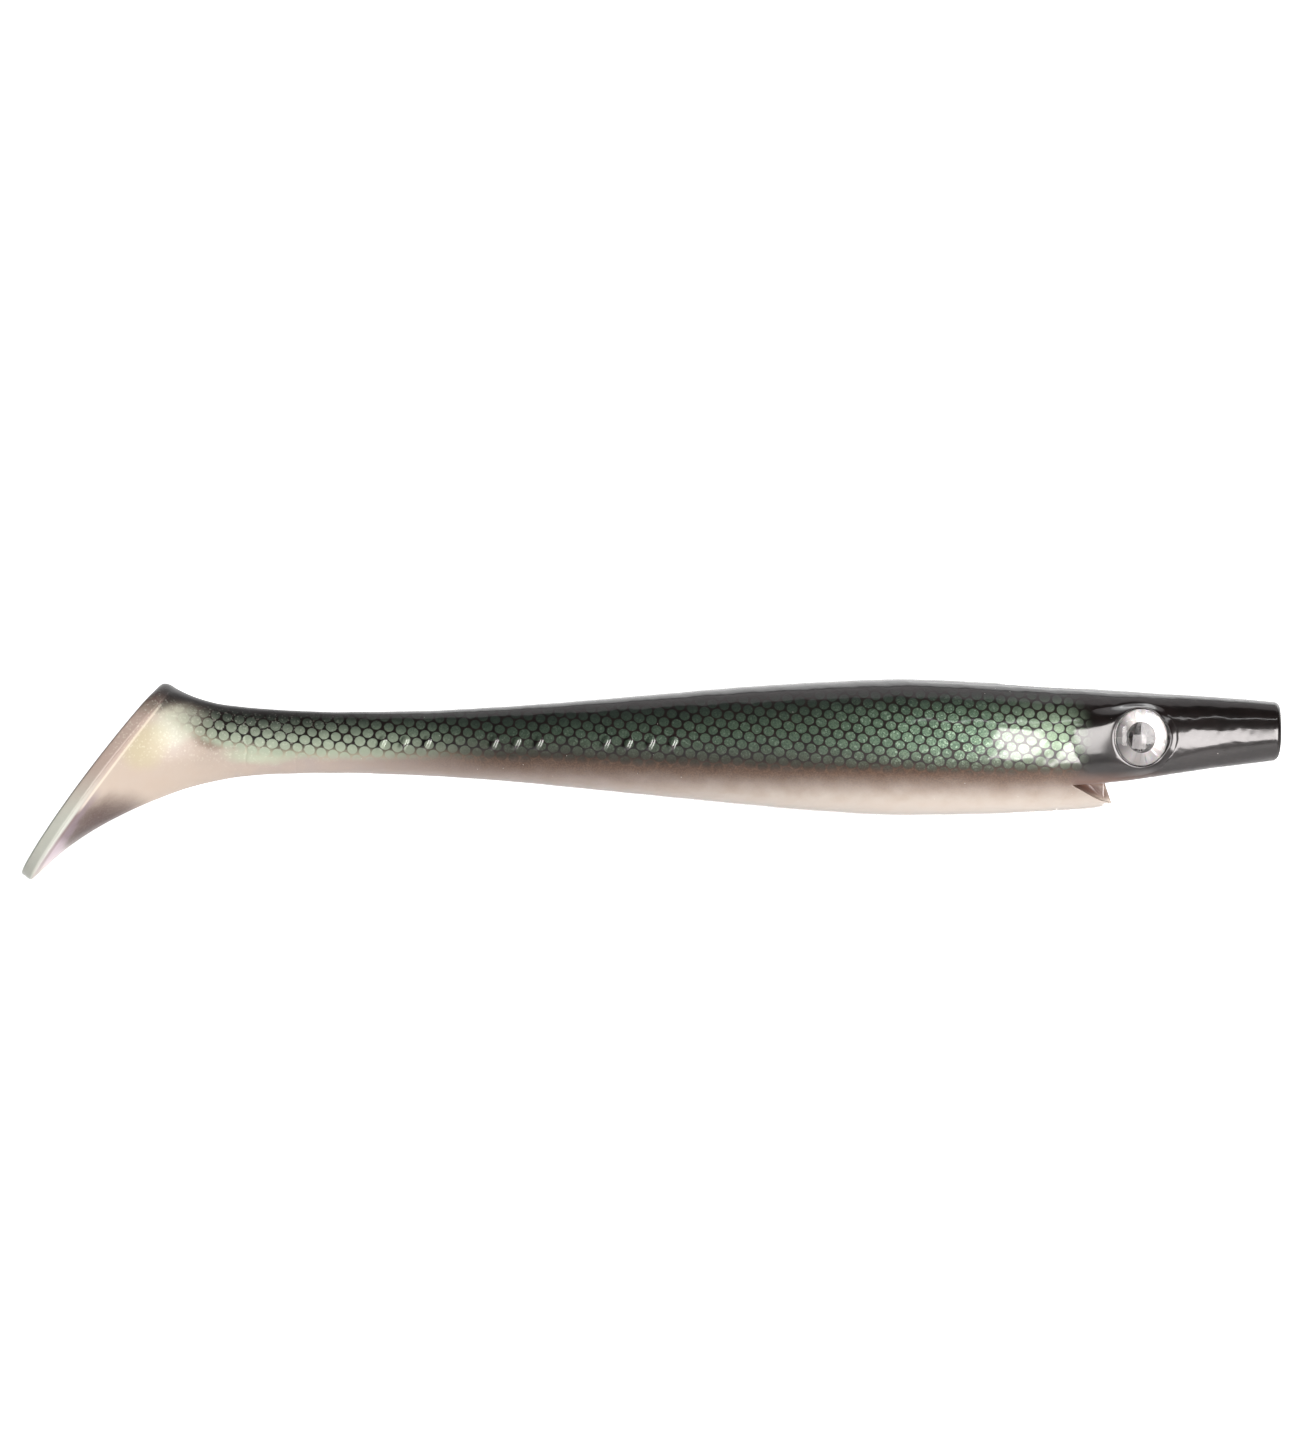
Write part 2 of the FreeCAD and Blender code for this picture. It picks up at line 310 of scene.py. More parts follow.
def disc_rows(turn):
    """The paddle's rim and rear face, aft of the flare's last row."""
    top, down, aft, chord = paddle_axes()
    half, share = FLARE[-1][2:]
    high = smoothstep(0.78, 0.97, np.sin(turn))
    over = RIM_OVERHANG * (1 - high)
    front = RIM_CORNER * (1 - high)
    back = RIM_CORNER + (RIM_TOP_CORNER - RIM_CORNER) * high
    quarter = [math.pi / 2 * i / 5 for i in range(6)]
    level = np.zeros(COLUMNS)
    profile = [(over * 0.3, level + 0.02), (over - front, level + RIM_STEP)]
    profile += [
        (over - front * (1 - math.sin(a)), RIM_STEP + front * (1 - math.cos(a))) for a in quarter
    ]
    straight = RIM_THICKNESS - back - front - RIM_STEP
    profile += [(over, RIM_STEP + front + straight * i / 5) for i in range(1, 5)]
    profile += [
        (over - back * (1 - math.cos(a)), RIM_THICKNESS - back * (1 - math.sin(a))) for a in quarter
    ]
    rows = []
    for out, behind in profile:
        upper = top - down * (out * 0.6)[:, None]
        lower = top + down * (chord + out * 0.9)[:, None]
        row = oval(upper, lower, half + out, np.full(COLUMNS, share), turn)
        rows.append(row + aft * behind[:, None])
    edge = rows[-1]
    middle = top + down * chord * share + aft * RIM_THICKNESS
    for i in range(1, 41):
        rows.append(middle + (edge - middle) * (1 - i / 40.5))
    return np.array(rows)


def bow(points):
    """Bends the paddle so that its middle stands aft of its ends."""
    top, down, aft, chord = paddle_axes()
    t = np.clip(((points - top) @ down) / chord, 0, 1)
    reach = smoothstep(-9.0, 0.5, (points - top) @ aft)
    return points + aft * (DISC_BOW * 4 * t * (1 - t) * reach)[..., None]


def eye_axes(side_word):
    """Centre of the foil, outward axis and foil radius, in millimetres, from the CAD eye."""
    low, high = (np.array(c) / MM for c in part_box(f"{side_word}_eye_foil"))
    pad_low, pad_high = (np.array(c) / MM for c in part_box(f"{side_word}_eye_adhesive"))
    centre = (low + high) / 2
    axis = centre - (pad_low + pad_high) / 2
    return centre, axis / np.linalg.norm(axis), (high[2] - low[2]) / 2


EYE_RIM_HEIGHT = 0.45       # least height of the socket's rim over the foil


def eye_coordinates(points, centre, axis):
    """Distance from the eye's axis and height over the foil."""
    offset = points - centre
    height = offset @ axis
    radial = np.linalg.norm(offset - height[..., None] * axis, axis=-1)
    return radial, height


def sink_sockets(points):
    """Presses the skin in under each eye. The socket's own ring covers the edge."""
    for side in ("right", "left"):
        centre, axis, radius = eye_axes(side)
        radial, height = eye_coordinates(points, centre, axis)
        facing = height > -3.0
        deep = (1 - smoothstep(radius + 0.15, radius + 0.45, radial)) * facing
        shallow = (1 - smoothstep(radius + 0.5, radius + 1.5, radial)) * facing
        target = height - 0.25 * shallow
        target = target * (1 - deep) + np.minimum(-0.9, height) * deep
        points = points + (target - height)[..., None] * axis
    return points


def lumps(points):
    """Slight unevenness of hand-poured soft plastic."""
    x, y, z = (points[..., i] for i in range(3))
    wave = np.sin(x * 0.83 + 1.3 * np.sin(z * 0.9)) * np.sin(z * 1.7 + 0.7 * np.sin(x * 0.41 + 2.0))
    fine = np.sin(x * 2.9 + z * 1.1 + 1.7) * np.sin(z * 3.7 - x * 0.6)
    fade = smoothstep(1.5, 8.0, -x) * (1 - smoothstep(168, 176, -x))
    return (0.020 * wave + 0.007 * fine) * fade


def skin_grid():
    """All rows of the skin, from the middle of the nose to the middle of the paddle's rear face."""
    turn = np.linspace(0, 2 * math.pi, COLUMNS, endpoint=False)
    runs = row_runs()
    body = body_surface(np.repeat(runs[:, None], COLUMNS, 1), np.repeat(turn[None], len(runs), 0))
    body = cut_underside(body)
    nose = np.array(nose_rows(turn))
    plain = np.concatenate([nose, body, disc_rows(turn)])
    normals = grid_normals(plain)
    detailed = plain + normals * lumps(plain)[..., None]
    detailed = press_creases(detailed, normals)
    detailed = raise_ticks(detailed)
    return plain, bow(detailed)


# ---------------------------------------------------------------- meshes

# Where the painted scale net starts under the dark back and ends over the belly: x, top, bottom
NET = [
    (-24.0, 4.2, -5.6),
    (-30.0, 5.1, -6.3),
    (-45.0, 5.6, -6.3),
    (-60.0, 5.9, -6.1),
    (-80.0, 5.2, -5.7),
    (-100.0, 3.9, -5.0),
    (-130.0, 2.5, -3.8),
    (-159.0, 2.1, -3.0),
    (-168.0, 3.0, -1.6),
    (-173.0, 4.0, 0.6),
    (-178.5, 5.6, 3.6),
    (-200.0, 9.0, 9.0),
]


def add_attributes(mesh, points):
    """Rest place in millimetres, and heights over the net's upper and lower edges."""
    table = np.array(NET)
    x = -points[:, 0]
    over = points[:, 2] - pchip(-table[:, 0], table[:, 1], x)
    under = points[:, 2] - pchip(-table[:, 0], table[:, 2], x)
    for name, values in (
        ("rest", points),
        ("zone", np.stack([over, under, points[:, 0]], -1)),
    ):
        layer = mesh.attributes.new(name, "FLOAT_VECTOR", "POINT")
        layer.data.foreach_set("vector", values.astype(np.float32).ravel())


def make_object(name, points, faces, normals=None):
    """A smooth-shaded piece from points in millimetres."""
    mesh = bpy.data.meshes.new(name)
    mesh.from_pydata((points * MM).tolist(), [], faces)
    mesh.validate()
    mesh.polygons.foreach_set("use_smooth", [True] * len(mesh.polygons))
    add_attributes(mesh, points)
    mesh.update()
    if normals is not None:
        mesh.normals_split_custom_set_from_vertices(normals.tolist())
    piece = bpy.data.objects.new(name, mesh)
    bpy.context.scene.collection.objects.link(piece)
    return piece


def tube_faces(rows, columns, start_cap=False, end_cap=False):
    """Quads of a grid that is closed round each row, facing out when rows run aft."""
    faces = []
    for r in range(rows - 1):
        row, following = r * columns, (r + 1) * columns
        for c in range(columns):
            d = (c + 1) % columns
            faces.append((row + c, following + c, following + d, row + d))
    if start_cap:
        faces.append(tuple(range(columns)))
    if end_cap:
        faces.append(tuple((rows - 1) * columns + c for c in reversed(range(columns))))
    return faces


def vertex_normals(points, faces):
    """Area-weighted normals of a grid mesh."""
    quads = np.array([f for f in faces if len(f) == 4])
    a, b, c, d = (points[quads[:, i]] for i in range(4))
    face = np.cross(c - a, d - b)
    normals = np.zeros_like(points)
    for i in range(4):
        np.add.at(normals, quads[:, i], face)
    return normals / np.maximum(np.linalg.norm(normals, axis=1, keepdims=True), 1e-12)


def borders():
    """x in millimetres at which the skin is cut: behind the head, then midway between the bends."""
    axes = [joint["pos_m"][0] / MM for joint in frame["joints"]]
    lead = (axes[0] - axes[1]) / 2
    cuts = [axes[0] + lead]
    cuts += [(a + b) / 2 for a, b in zip(axes, axes[1:])]
    return axes, cuts


def make_skin(gloss, satin):
    """The skin's pieces. The first rides on the front, and each other spans one joint.

    Gives the plain skin, without eye sockets and fine detail.
    """
    plain, detailed = skin_grid()
    detailed = sink_sockets(detailed)
    rows, columns = detailed.shape[:2]
    points = detailed.reshape(-1, 3)
    normals = vertex_normals(points, tube_faces(rows, columns)).reshape(rows, columns, 3)
    middle_x = detailed[..., 0].mean(1)
    axes, cuts = borders()
    limits = [0] + [int(np.argmax(middle_x < x)) for x in cuts] + [rows - 1]
    names = ["head", "shoulder", "trunk", "tail_root", "stalk", "wrist", "paddle"]
    links = ["front", "middle", "rear", "tail_root", "stalk", "wrist", "paddle"]
    for i, name in enumerate(names):
        first, last = limits[i], limits[i + 1]
        block = detailed[first : last + 1].reshape(-1, 3)
        block_normals = normals[first : last + 1].reshape(-1, 3)
        faces = tube_faces(last - first + 1, columns, i == 0, i == len(names) - 1)
        piece = make_object(f"skin_{name}", block, faces, block_normals)
        piece.data.materials.append(satin if name == "paddle" else gloss)
        if i == 0:
            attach(piece, "front_body")
            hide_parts("head", "front_back", "front_belly")
        else:
            x, link = axes[i - 1], links[i]
            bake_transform(piece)
            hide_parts(f"{link}_bend_back", f"{link}_bend_belly",
                        f"{link}_back", f"{link}_belly")
    return plain


def lobe_rows():
    """Half-profiles of the throat's lobe, mirrored into closed rows from its tip aft."""
    table = np.array(LOBE_EDGE)[::-1]
    rows = []
    xs = np.concatenate([np.linspace(-26.80, -28.4, 14), np.linspace(-28.6, -40.0, 48)])
    for x in xs:
        edge = float(pchip(-table[:, 0], table[:, 1], np.array([-x]))[0])
        top, bottom, half, share = (v[0] for v in rows_at(np.array([-x])))
        under = bottom[2]
        tip = float(smoothstep(-26.8, LOBE_UNDER_START, np.array([x]))[0])
        under = LOBE_UNDER_TIP + (under - LOBE_UNDER_TIP) * tip
        sink = LOBE_SINK + 0.35 * float(smoothstep(-38.0, -40.0, np.array([x]))[0])
        widest = top[2] + (bottom[2] - top[2]) * share
        slope = (LOBE_EDGE[-1][1] - WEB_TOP[1]) / (LOBE_EDGE[-1][0] - WEB_TOP[0])
        roof = min(-6.6, WEB_TOP[1] + slope * (x - WEB_TOP[0])) if x > WEB_TOP[0] - 1.5 else -6.6
        roof = max(roof, edge + 0.02)

        def flank(z):
            drop = np.clip((widest - z) / (widest - under), 0, 1)
            return (half - sink) * math.sqrt(max(0.0, 1 - drop**2))

        web = min(WEB_HALF_WIDTH, 0.55 * flank(edge) + 0.02)
        fillet = min(WEB_FILLET, max(0.02, (flank(edge) - web) * 0.55), max(0.02, (roof - edge) * 0.8))
        profile = [(web * s, roof) for s in (0.0, 0.35, 0.7)]
        profile += [(web, roof + (edge + fillet - roof) * s) for s in (0.0, 0.25, 0.5, 0.75)]
        profile += [
            (web + fillet * (1 - math.cos(a)), edge + fillet * (1 - math.sin(a)))
            for a in np.linspace(0, math.pi / 2, 10)
        ]
        outer = flank(edge - 0.12)
        inner = web + fillet
        profile += [(inner + (outer - 0.1 - inner) * s, edge) for s in (0.3, 0.6, 0.85, 1.0)]
        corner = math.asin(min(1.0, (widest - (edge - 0.15)) / (widest - under)))
        wide, deep = half - sink, widest - under - sink
        for angle in np.linspace(corner, math.pi / 2, 34):
            profile.append((wide * math.cos(angle), widest - deep * math.sin(angle)))
        right = [(x, -y, z) for y, z in profile]
        left = [(x, y, z) for y, z in profile[1:-1]]
        rows.append(right + left[::-1])
    return np.array(rows)


def make_lobe(material):
    """The throat's lobe, sunk a little under the skin where it meets the body."""
    rows = lobe_rows()
    count, columns = rows.shape[:2]
    faces = tube_faces(count, columns, True, True)
    piece = make_object("throat_lobe", rows.reshape(-1, 3), faces)
    piece.data.materials.append(material)
    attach(piece, "front_body")


def eye_basis(axis):
    """Two directions across the eye: up, and towards the nose."""
    up = np.array([0.0, 0.0, 1.0])
    up -= axis * (up @ axis)
    up /= np.linalg.norm(up)
    ahead = np.cross(up, axis)
    ahead *= math.copysign(1, ahead[0])
    return up, ahead / np.linalg.norm(ahead)


def lathe(side, profile, segments=128):
    """Rows round the eye's axis from (radius, height) pairs, with heights over the foil."""
    centre, axis, _ = eye_axes(side)
    up, ahead = eye_basis(axis)
    turns = np.linspace(0, 2 * math.pi, segments, endpoint=False)
    ring = np.cos(turns)[:, None] * ahead + np.sin(turns)[:, None] * up
    return np.array([centre + ring * r + axis * h for r, h in profile])


def turn_faces_out(piece):
    """Turns a lathed piece's faces outwards."""
    bm = bmesh.new()
    bm.from_mesh(piece.data)
    bmesh.ops.recalc_face_normals(bm, faces=bm.faces)
    bm.to_mesh(piece.data)
    bm.free()


def eye_piece(name, side, profile, material, cad):
    """A closed lathed piece of one eye, in place of a CAD node."""
    rows = lathe(side, profile)
    count, columns = rows.shape[:2]
    faces = tube_faces(count, columns, True, True)
    piece = make_object(name, rows.reshape(-1, 3), faces)
    turn_faces_out(piece)
    piece.data.materials.append(material)
    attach(piece, "front_body")
    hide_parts(cad)


def head_height(tree, centre, axis, ring_point):
    """Height of the head's skin over the foil, along the eye's axis, at one place beside the eye."""
    start = ring_point + axis * 8.0
    hit = tree.ray_cast(Vector(start), Vector(-axis), 16.0)
    return -9.0 if hit[0] is None else float((np.array(hit[0]) - centre) @ axis)


SOCKET_REACH = (2.3, 8.0)   # farthest the moulded lip runs out from the foil's edge: ahead, behind
SOCKET_FALL = (1.7, 3.6)    # most it may fall on the way: ahead, behind
SOCKET_START = (-0.15, -0.42)   # slope at which it leaves the lip: ahead, behind


def lip_profile(inner, lip, start_slope, outer, end, slope):
    """Half-section of the moulded lip: wall, rounded rim, and a run down to the head's skin."""
    profile = [(inner, -0.6), (inner, lip - 0.30)]
    for angle in np.linspace(0.15, math.pi / 2, 6):
        profile.append((inner + 0.22 * (1 - math.cos(angle)), lip - 0.22 + 0.22 * math.sin(angle)))
    start = inner + 0.22
    span = outer - start
    for s in np.linspace(0.05, 1.0, 20):
        ease_in, ease_out = (1 + 2 * s) * (1 - s) ** 2, s * s * (3 - 2 * s)
        lead, trail = s * (1 - s) ** 2, s * s * (s - 1)
        height = ease_in * lip + ease_out * end + span * (lead * start_slope + trail * slope)
        profile.append((start + span * s, height))
    profile.append((outer + 0.25, end - 0.45))
    return profile


def make_socket(side, plain, material, segments=160):
    """The moulded lip round the eye. It follows the head's skin and buries its outer edge in it."""
    centre, axis, radius = eye_axes(side)
    rows, columns = plain.shape[:2]
    near = int(np.argmax(plain[..., 0].mean(1) < -40))
    tree = BVHTree.FromPolygons(plain[:near].reshape(-1, 3).tolist(), tube_faces(near, columns))
    up, ahead = eye_basis(axis)
    inner = radius + 0.09
    spokes = [
        math.cos(t) * ahead + math.sin(t) * up
        for t in np.linspace(0, 2 * math.pi, segments, endpoint=False)
    ]

    def height_at(spoke, reach):
        return head_height(tree, centre, axis, centre + spoke * reach)

    def averaged(values, spread):
        wide = np.concatenate([values[-spread:], values, values[:spread]])
        return np.convolve(wide, np.ones(2 * spread + 1) / (2 * spread + 1), "valid")

    lips = np.array([max(EYE_RIM_HEIGHT, height_at(s, radius + 0.6) + 0.10) for s in spokes])
    lips = averaged(lips, 6)
    behind = np.clip(-np.cos(np.linspace(0, 2 * math.pi, segments, endpoint=False)), 0, 1) ** 1.5
    reach, fall, start_slope = (
        a + (b - a) * behind for a, b in (SOCKET_REACH, SOCKET_FALL, SOCKET_START)
    )
    outers = []
    for i, spoke in enumerate(spokes):
        tries = np.linspace(radius + 0.8, radius + reach[i], 24)
        fine = [r for r in tries if height_at(spoke, r) > lips[i] - fall[i]]
        outers.append(fine[-1] if fine else tries[0])
    outers = averaged(np.array(outers), 9)
    grid = []
    for i, spoke in enumerate(spokes):
        outer = outers[i]
        end = height_at(spoke, outer) - 0.05
        slope = (height_at(spoke, outer) - height_at(spoke, outer - 0.3)) / 0.3
        profile = lip_profile(inner, lips[i], start_slope[i], outer, end, max(slope, -3.0))
        grid.append([centre + spoke * r + axis * h for r, h in profile])
    points = np.array(grid).transpose(1, 0, 2)
    count, columns = points.shape[:2]
    piece = make_object(f"{side}_eye_socket", points.reshape(-1, 3), tube_faces(count, columns))
    turn_faces_out(piece)
    piece.data.materials.append(material)
    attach(piece, "front_body")


FACETS = 24
FOIL_LIFT = 0.05            # of the foil's face over its place in the CAD
FOIL_RIDGE = 0.05           # height of the pressed facets at the foil's edge
FOIL_DEPTH = 0.12
LENS_RISE = 1.5
LENS_EDGE = 0.55


def make_foil(side, material):
    """The foil disc, pressed into radial facets."""
    centre, axis, radius = eye_axes(side)
    up, ahead = eye_basis(axis)
    rings = np.linspace(0.35, 1.0, 12)
    segments = FACETS * 8
    grid = []
    rng = np.random.default_rng(7)
    tilt = rng.uniform(-1, 1, FACETS)
    for share in rings:
        row = []
        for s in range(segments):
            t = 2 * math.pi * s / segments
            wedge = s * FACETS / segments
            local = wedge - math.floor(wedge) - 0.5
            ridge = FOIL_RIDGE * share * (tilt[int(wedge)] * local * 2) if share < 0.99 else 0.0
            spoke = math.cos(t) * ahead + math.sin(t) * up
            row.append(centre + spoke * radius * share + axis * (FOIL_LIFT + ridge))
        grid.append(row)
    grid.append([p - axis * FOIL_DEPTH for p in grid[-1]])
    points = np.array(grid)
    count, columns = points.shape[:2]
    faces = tube_faces(count, columns, True, True)
    piece = make_object(f"{side}_eye_foil_disc", points.reshape(-1, 3), faces)
    turn_faces_out(piece)
    angle = piece.data.attributes.new("wedge", "FLOAT", "POINT")
    offset = points.reshape(-1, 3) - centre
    turns = np.arctan2(offset @ up, offset @ ahead)
    angle.data.foreach_set("value", (turns / (2 * math.pi)).astype(np.float32))
    reach = piece.data.attributes.new("reach", "FLOAT", "POINT")
    reach.data.foreach_set("value", (np.linalg.norm(offset, axis=1) / radius).astype(np.float32))
    piece.data.materials.append(material)
    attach(piece, "front_body")
    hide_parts(f"{side}_eye_foil")
    return piece


def make_eye(side, materials):
    """One eye's foil, printed pupil and clear dome."""
    _, _, radius = eye_axes(side)
    low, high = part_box(f"{side}_eye_pupil")
    pupil = (high[2] - low[2]) / 2 / MM
    make_foil(side, materials["foil"])
    eye_piece(
        f"{side}_eye_pupil_print", side,
        [(0.02, 0.19), (pupil * 0.5, 0.185), (pupil * 0.85, 0.17), (pupil * 0.97, 0.15), (pupil, 0.12),
         (pupil * 0.9, 0.09)],
        materials["pupil"], f"{side}_eye_pupil",
    )
    ball = (radius**2 + LENS_RISE**2) / (2 * LENS_RISE)
    half_angle = math.asin(radius / ball)
    floor = 0.24
    dome = [
        (ball * math.sin(a), floor + LENS_EDGE + LENS_RISE - ball + ball * math.cos(a))
        for a in np.linspace(0.004, half_angle, 26)
    ]
    edge = [(radius, floor + LENS_EDGE * 0.5), (radius - 0.03, floor + 0.04), (radius - 0.15, floor)]
    profile = dome + edge + [(radius * s, floor) for s in (0.8, 0.5, 0.2, 0.01)]
    eye_piece(f"{side}_eye_dome", side, profile, materials["lens"], f"{side}_eye_lens")


# ---------------------------------------------------------------- materials


def linear(red, green, blue):
    """A colour given as 0 to 255 display values, in linear light."""
    return tuple(
        c / 255 / 12.92 if c / 255 <= 0.04045 else ((c / 255 + 0.055) / 1.055) ** 2.4
        for c in (red, green, blue)
    ) + (1.0,)


class Nodes:
    """Short calls for building one material's node tree."""

    def __init__(self, name):
        self.material = bpy.data.materials.new(name)
        self.material.use_nodes = True
        self.tree = self.material.node_tree
        self.shader = self.tree.nodes["Principled BSDF"]

    def plug(self, socket, value):
        if isinstance(value, bpy.types.NodeSocket):
            self.tree.links.new(value, socket)
        elif value is not None:
            socket.default_value = value

    def add(self, kind, *values, **settings):
        node = self.tree.nodes.new(kind)
        for key, value in settings.items():
            setattr(node, key, value)
        for socket, value in zip(node.inputs, values):
            self.plug(socket, value)
        return node

    def attribute(self, name):
        return self.add("ShaderNodeAttribute", attribute_name=name)

    def calc(self, operation, a, b=None):
        return self.add("ShaderNodeMath", a, b, operation=operation).outputs[0]

    def plus(self, a, b):
        return self.calc("ADD", a, b)

    def minus(self, a, b):
        return self.calc("SUBTRACT", a, b)

    def times(self, a, b):
        return self.calc("MULTIPLY", a, b)

    def ramp(self, value, low, high, start=0.0, end=1.0):
        node = self.add("ShaderNodeMapRange", value, low, high, start, end, interpolation_type="SMOOTHSTEP")
        return node.outputs[0]

    def mix(self, share, a, b):
        node = self.add("ShaderNodeMix", data_type="RGBA")
        self.plug(node.inputs[0], share)
        self.plug(node.inputs[6], a)
        self.plug(node.inputs[7], b)
        return node.outputs[2]

    def scaled(self, vector, x, y, z, offset=(0, 0, 0)):
        node = self.add("ShaderNodeVectorMath", vector, (x, y, z), offset, operation="MULTIPLY_ADD")
        return node.outputs[0]

    def noise(self, vector, scale, detail=2.0, rough=0.5):
        node = self.add("ShaderNodeTexNoise", vector)
        node.inputs["Scale"].default_value = scale
        node.inputs["Detail"].default_value = detail
        node.inputs["Roughness"].default_value = rough
        return node.outputs[0]

    def split(self, vector):
        return self.add("ShaderNodeSeparateXYZ", vector).outputs

    def join(self, x, y, z):
        return self.add("ShaderNodeCombineXYZ", x, y, z).outputs[0]

    def bump(self, height, strength, distance):
        node = self.add("ShaderNodeBump")
        node.inputs["Strength"].default_value = strength
        node.inputs["Distance"].default_value = distance
        self.plug(node.inputs["Height"], height)
        return node.outputs[0]

    def set(self, **values):
        for name, value in values.items():
            self.plug(self.shader.inputs[name.replace("_", " ")], value)
        return self.material


# The net is a centred lattice: spacing along a row and across two rows, and the rows' slant
NET_ALONG, NET_ACROSS, NET_SLANT = 1.95, 2.83, math.radians(-10)
DISC_RADIUS = 0.77


def lattice(n, along, across, shift):
    """Distance to the nearest disc centre of one of the net's two grids, and that disc's own number."""
    u = n.plus(n.calc("DIVIDE", along, NET_ALONG), shift)
    v = n.plus(n.calc("DIVIDE", across, NET_ACROSS), shift)
    cell_u, cell_v = n.calc("ROUND", u), n.calc("ROUND", v)
    du = n.times(n.minus(u, cell_u), NET_ALONG * 0.90)
    dv = n.times(n.minus(v, cell_v), NET_ACROSS)
    distance = n.calc("SQRT", n.plus(n.times(du, du), n.times(dv, dv)))
    return distance, n.join(cell_u, cell_v, shift)


def net_mask(n, rest):
    """1 inside the painted discs and 0 on the net's lines, with each disc's own brightness."""
    warp = n.scaled(rest, 1, 0, 1)
    sway_x = n.times(n.minus(n.noise(warp, 0.09, 1.0), 0.5), 0.9)
    sway_z = n.noise(n.scaled(warp, 1, 1, 1, (31, 0, 17)), 0.12, 1.0)
    sway_z = n.times(n.minus(sway_z, 0.5), 0.7)
    parts = n.split(rest)
    x, z = n.plus(parts[0], sway_x), n.plus(parts[2], sway_z)
    cosine, sine = math.cos(NET_SLANT), math.sin(NET_SLANT)
    along = n.plus(n.times(x, cosine), n.times(z, sine))
    across = n.minus(n.times(z, cosine), n.times(x, sine))
    near, cell_a = lattice(n, along, across, 0.0)
    far, cell_b = lattice(n, along, across, 0.5)
    first = n.calc("LESS_THAN", near, far)
    distance = n.calc("MINIMUM", near, far)
    gap = n.calc("ABSOLUTE", n.minus(near, far))
    cell = n.add("ShaderNodeMix", data_type="VECTOR")
    n.plug(cell.inputs[0], first)
    n.plug(cell.inputs[4], cell_b)
    n.plug(cell.inputs[5], cell_a)
    own = n.add("ShaderNodeTexWhiteNoise", cell.outputs[1], noise_dimensions="3D").outputs[0]
    edge = n.plus(distance, n.times(n.minus(own, 0.5), 0.10))
    disc = n.minus(1.0, n.ramp(edge, DISC_RADIUS - 0.11, DISC_RADIUS + 0.03))
    return n.times(disc, n.ramp(gap, 0.03, 0.22)), own


# Tints, painted shade and painted highlights seen from the side: x, z, half length, half height, tilt,
# colour, strength
TINTS_AND_PAINTED_LIGHT = [
    # Painted shade on the wrist, brown
    (-169.6, -0.6, 3.6, 2.6, -0.3, (118, 98, 80), 0.75),
    # Painted sheen low on the wrist
    (-161.5, -3.6, 7.0, 2.0, 0.0, (186, 196, 172), 0.90),
    # Painted highlight on the flare
    (-174.8, 1.0, 4.8, 3.8, 0.5, (208, 210, 190), 0.90),
    # Painted sheen on the flare, yellow-green
    (-179.4, -2.4, 4.8, 3.8, 0.9, (194, 186, 146), 0.60),
    # Painted shade on the flare's lower side, where it turns away downwards
    (-187.2, -16.4, 10.0, 6.2, 0.53, (56, 25, 17), 0.97),
    (-191.4, -14.8, 8.0, 1.2, 0.90, (122, 104, 118), 0.60),
    (-195.0, -19.6, 4.0, 2.0, 0.75, (200, 182, 194), 0.70),
    (-176.0, 6.2, 6.2, 3.0, 0.35, (44, 33, 34), 0.97),
    # Painted shadow along the edge of the throat lobe's cavity
    (-30.4, -8.9, 4.2, 1.15, -0.42, (84, 58, 50), 0.90),
]


def patch(n, x, z, centre_x, centre_z, length, height, tilt):
    """Soft oval mask, seen from the side."""
    dx, dz = n.minus(x, centre_x), n.minus(z, centre_z)
    cosine, sine = math.cos(tilt), math.sin(tilt)
    along = n.plus(n.times(dx, cosine), n.times(dz, sine))
    across = n.minus(n.times(dz, cosine), n.times(dx, sine))
    along, across = n.calc("DIVIDE", along, length), n.calc("DIVIDE", across, height)
    square = n.plus(n.times(along, along), n.times(across, across))
    return n.ramp(square, 1.15, 0.05)


def aft_of_crease(n, x, z):
    """Distance aft of the crease where the flare meets the paddle's rim."""
    top, _, aft, _ = paddle_axes()
    across_x = n.times(n.minus(x, float(top[0])), float(aft[0]))
    across_z = n.times(n.minus(z, float(top[2])), float(aft[2]))
    return n.plus(across_x, across_z)


def skin_fields(n):
    """What the paint depends on: rest place, heights over the net's edges, clouding and grain."""
    f = SimpleNamespace()
    f.rest = n.attribute("rest").outputs["Vector"]
    f.x, _, f.z = n.split(f.rest)
    over, under, f.along = n.split(n.attribute("zone").outputs["Vector"])
    f.cloud = n.noise(f.rest, 0.35, 3.0)
    f.grain = n.noise(f.rest, 4.0, 2.0, 0.6)
    speck = n.add("ShaderNodeTexVoronoi", f.rest)
    speck.inputs["Scale"].default_value = 4.0
    f.flake = n.split(speck.outputs["Color"])[0]
    # The brightest flakes, which the paint shows as glints.
    f.glint = n.ramp(f.flake, 0.80, 0.98)
    f.sway = n.times(n.minus(f.cloud, 0.5), 1.2)
    f.over = n.plus(over, f.sway)
    f.under = n.plus(under, f.sway)
    f.tail = n.ramp(f.along, -122.0, -152.0)
    return f


def pearl_paint(n, f, brown):
    """The belly's pearl, browned towards the net."""
    pearl = n.mix(n.ramp(f.along, -75.0, -112.0), linear(190, 180, 169), linear(176, 164, 156))
    pearl = n.mix(n.ramp(f.along, -154.0, -174.0), pearl, linear(191, 177, 163))
    pearl = n.mix(n.ramp(f.cloud, 0.35, 0.7, 0.0, 0.30), pearl, linear(190, 172, 155))
    fade = n.times(n.ramp(f.under, -6.0, -0.6), n.ramp(f.along, -158.0, -122.0))
    return n.mix(fade, pearl, brown)


